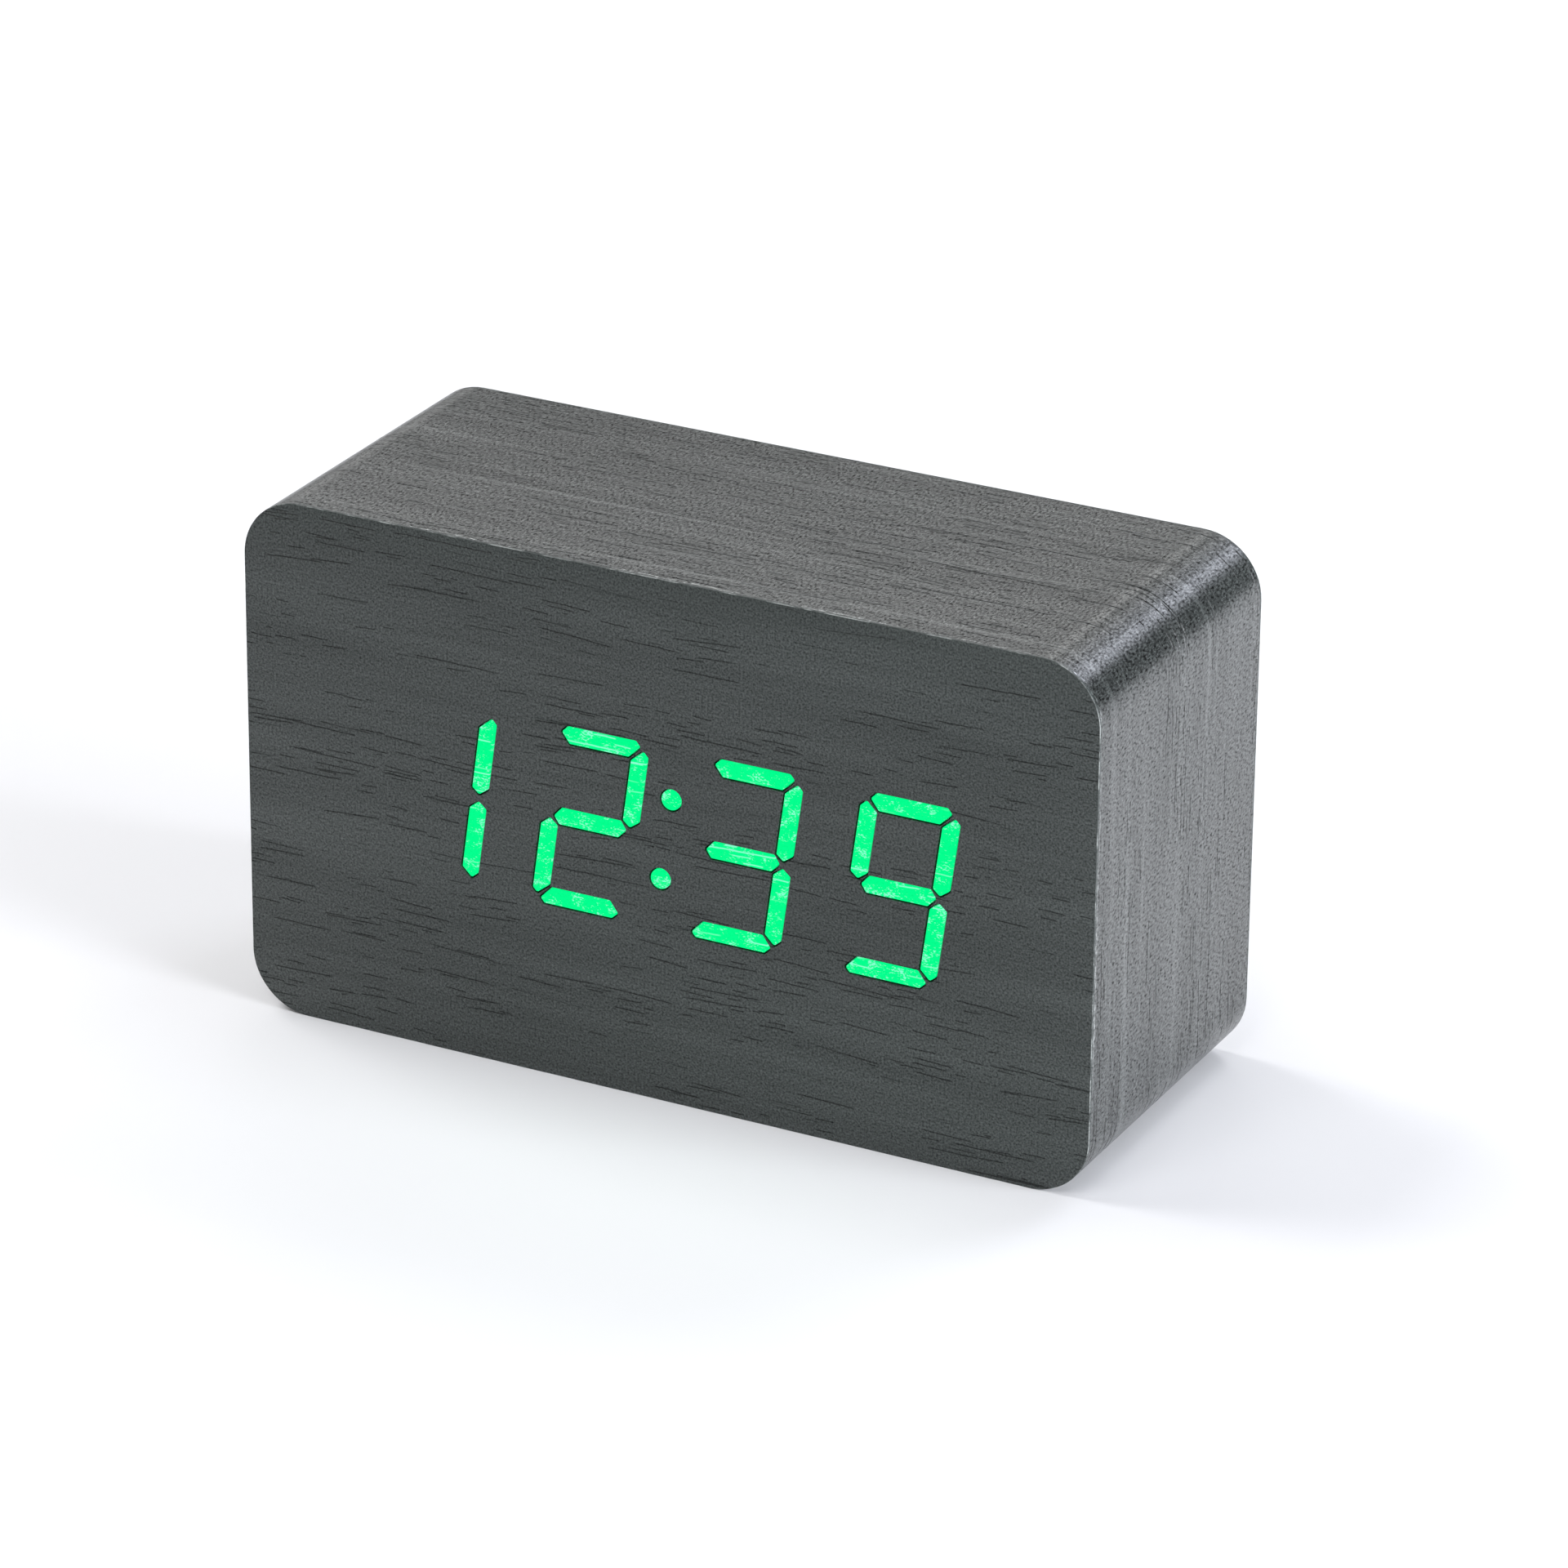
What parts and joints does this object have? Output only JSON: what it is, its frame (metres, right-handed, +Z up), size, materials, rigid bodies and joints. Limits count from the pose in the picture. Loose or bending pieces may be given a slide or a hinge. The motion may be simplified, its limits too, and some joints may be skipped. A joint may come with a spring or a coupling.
{
  "type": "alarm clock",
  "caption": "Block-shaped desk alarm clock in black wood-grain foil, with a green digital display that shines through the front, rear keys and a battery hatch in the base.",
  "frame": {"origin": "middle of the base, at the level that the clock stands on", "axes": "+X along the width, to the right of someone who faces the display; +Y to the back, so the display faces -Y; +Z up"},
  "size_m": [0.1, 0.0396, 0.0595],
  "materials": {
    "black_wood_foil_wrap": "charcoal wood-grain foil, embossed pores, satin, one strip wrapped round the four sides",
    "black_wood_foil_front": "charcoal wood-grain foil, embossed pores, satin",
    "black_wood_foil_rear": "charcoal wood-grain foil, embossed pores, satin",
    "lit_foil": "the front foil where green light comes through it",
    "mdf": "machined fibreboard, matte",
    "black_film": "black printed film, matte",
    "diffusing_film": "milky polyester film",
    "white_plastic": "moulded white polycarbonate",
    "circuit_board": "green solder resist on glass-epoxy",
    "led_package": "chip LED, pale resin",
    "chip_resin": "moulded chip resin",
    "zinc_steel": "zinc-plated steel",
    "cream_nylon": "natural nylon",
    "grey_ribbon": "grey PVC ribbon",
    "tinned_can": "drawn and tinned metal can",
    "nickel_steel": "nickel-plated spring steel",
    "black_nylon": "glass-filled black nylon",
    "capacitor_sleeve": "printed shrink sleeve",
    "resistor_ceramic": "printed resistor body",
    "buzzer_plastic": "moulded black plastic",
    "thermistor_resin": "dipped resin bead",
    "switch_steel": "folded tinplate",
    "cover_plastic": "moulded black ABS, fine spark texture",
    "black_steel": "black zinc-plated steel",
    "key_plastic": "moulded black ABS, satin",
    "plunger_plastic": "moulded acetal",
    "bay_plastic": "moulded black ABS",
    "cell_sleeve": "printed shrink sleeve over a steel can",
    "red_wire_sleeve": "PVC insulation",
    "black_wire_sleeve": "PVC insulation",
    "door_plastic": "moulded black ABS, fine spark texture",
    "black_foam": "closed-cell foam strip"
  },
  "bodies": {
    "case": {"wrap_foil": "black_wood_foil_wrap", "front_foil": "black_wood_foil_front", "rear_foil": "black_wood_foil_rear", "lit_hour_tens": "lit_foil", "lit_hours": "lit_foil", "lit_colon": "lit_foil", "lit_minute_tens": "lit_foil", "lit_minutes": "lit_foil", "front_board": "mdf", "case_frame": "mdf", "rear_board": "mdf", "light_mask": "black_film", "diffuser_sheet": "diffusing_film", "reflector_block": "white_plastic", "display_pcb": "circuit_board", "led_chips": "led_package", "driver_chips": "chip_resin", "display_screws": "zinc_steel", "display_socket": "cream_nylon", "ribbon_cable": "grey_ribbon", "main_pcb": "circuit_board", "controller_chip": "chip_resin", "clock_crystal": "tinned_can", "backup_cell": "nickel_steel", "backup_cell_holder": "black_nylon", "capacitors": "capacitor_sleeve", "chip_resistors": "resistor_ceramic", "main_socket": "cream_nylon", "buzzer": "buzzer_plastic", "microphone": "tinned_can", "thermistor": "thermistor_resin", "tact_switches": "black_nylon", "switch_housing": "switch_steel", "usb_shell": "nickel_steel", "usb_insert": "black_nylon", "board_screws": "zinc_steel", "rear_cover": "cover_plastic", "cover_screws": "black_steel", "battery_bay": "bay_plastic", "bay_screws": "black_steel", "cell_front": "cell_sleeve", "cell_middle": "cell_sleeve", "cell_rear": "cell_sleeve", "plus_contact": "nickel_steel", "minus_contact": "nickel_steel", "link_contacts": "nickel_steel", "red_wire": "red_wire_sleeve", "black_wire": "black_wire_sleeve"},
    "set_button": {"set_key": "key_plastic", "set_plunger": "plunger_plastic"},
    "up_button": {"up_key": "key_plastic", "up_plunger": "plunger_plastic"},
    "down_button": {"down_key": "key_plastic", "down_plunger": "plunger_plastic"},
    "sound_switch": {"switch_slider": "key_plastic", "switch_lever": "black_nylon"},
    "battery_hatch": {"battery_door": "door_plastic", "door_pad": "black_foam"}
  },
  "joints": [
    {"name": "set_press", "type": "slide", "parent": "case", "child": "set_button", "axis": [0, -1, 0], "range_m": [0, 0.0005], "stiffness_N_per_m": 400, "springref_m": -0.002},
    {"name": "up_press", "type": "slide", "parent": "case", "child": "up_button", "axis": [0, -1, 0], "range_m": [0, 0.0005], "stiffness_N_per_m": 400, "springref_m": -0.002},
    {"name": "down_press", "type": "slide", "parent": "case", "child": "down_button", "axis": [0, -1, 0], "range_m": [0, 0.0005], "stiffness_N_per_m": 400, "springref_m": -0.002},
    {"name": "sound_slide", "type": "slide", "parent": "case", "child": "sound_switch", "axis": [1, 0, 0], "range_m": [0, 0.002]},
    {"name": "hatch_hinge", "type": "hinge", "parent": "case", "child": "battery_hatch", "pos_m": [-0.0244, 0, 0.0019], "axis": [0, 1, 0], "range_deg": [0, 45]}
  ]
}
